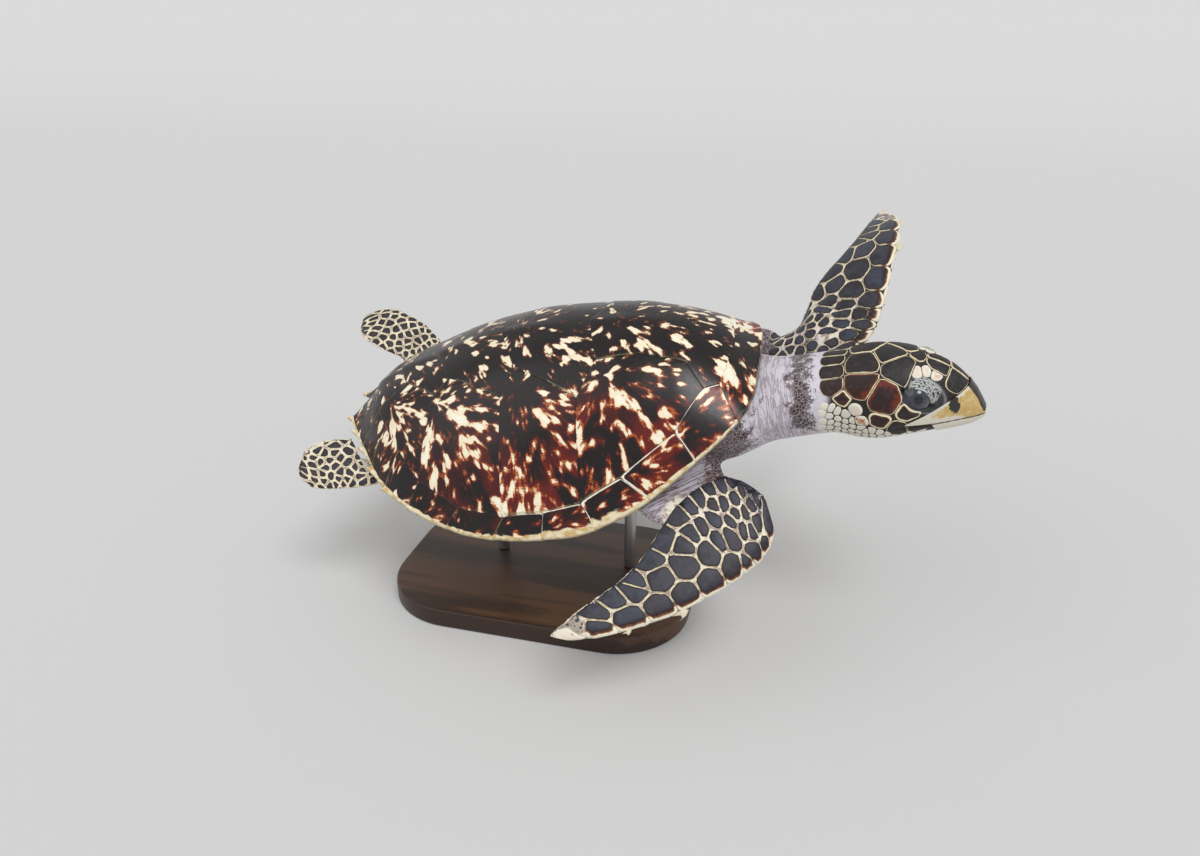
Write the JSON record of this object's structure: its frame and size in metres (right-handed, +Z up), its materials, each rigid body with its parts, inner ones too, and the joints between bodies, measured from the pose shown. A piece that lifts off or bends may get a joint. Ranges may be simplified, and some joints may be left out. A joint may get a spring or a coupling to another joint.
{
  "type": "hawksbill sea turtle model",
  "caption": "Still life-size model of a young swimming hawksbill sea turtle, held over a flat wooden base by slim steel rods.",
  "frame": {"origin": "centre of the underside of the stand's base", "axes": "+X towards the head end, +Y to the animal's left, +Z up"},
  "size_m": [0.5335, 0.3948, 0.2911],
  "materials": {
    "shell": "polished horn, dark brown with cream streaks and red-brown halos",
    "belly": "smooth horn, pale yellow",
    "skin": "soft wrinkled skin, pale grey-pink with dark speckles",
    "scales": "satin scaled skin, slate black with cream seams",
    "beak": "smooth horn, yellow-brown with dark streaks",
    "eye": "wet and dark",
    "claw": "smooth horn, cream",
    "base": "dark oiled wood",
    "rod": "satin steel"
  },
  "bodies": {
    "root": {"nuchal_scute": "shell", "vertebral_scute_1": "shell", "vertebral_scute_2": "shell", "vertebral_scute_3": "shell", "vertebral_scute_4": "shell", "vertebral_scute_5": "shell", "costal_scute_left_1": "shell", "costal_scute_right_1": "shell", "costal_scute_left_2": "shell", "costal_scute_right_2": "shell", "costal_scute_left_3": "shell", "costal_scute_right_3": "shell", "costal_scute_left_4": "shell", "costal_scute_right_4": "shell", "marginal_scute_left_1": "shell", "marginal_scute_right_1": "shell", "marginal_scute_left_2": "shell", "marginal_scute_right_2": "shell", "marginal_scute_left_3": "shell", "marginal_scute_right_3": "shell", "marginal_scute_left_4": "shell", "marginal_scute_right_4": "shell", "marginal_scute_left_5": "shell", "marginal_scute_right_5": "shell", "marginal_scute_left_6": "shell", "marginal_scute_right_6": "shell", "marginal_scute_left_7": "shell", "marginal_scute_right_7": "shell", "marginal_scute_left_8": "shell", "marginal_scute_right_8": "shell", "marginal_scute_left_9": "shell", "marginal_scute_right_9": "shell", "marginal_scute_left_10": "shell", "marginal_scute_right_10": "shell", "marginal_scute_left_11": "shell", "marginal_scute_right_11": "shell", "marginal_scute_left_12": "shell", "marginal_scute_right_12": "shell", "plastron": "belly", "head": "scales", "lower_jaw": "beak", "upper_beak": "beak", "lower_beak": "beak", "eye_left": "eye", "eye_right": "eye", "trunk": "skin", "neck": "skin", "fore_flipper_right": "scales", "fore_flipper_left": "scales", "hind_flipper_right": "scales", "hind_flipper_left": "scales", "tail": "skin", "claw_main_left": "claw", "claw_small_left": "claw", "claw_main_right": "claw", "claw_small_right": "claw", "stand_base": "base", "stand_rod_rear": "rod", "stand_rod_front": "rod"}
  },
  "joints": []
}
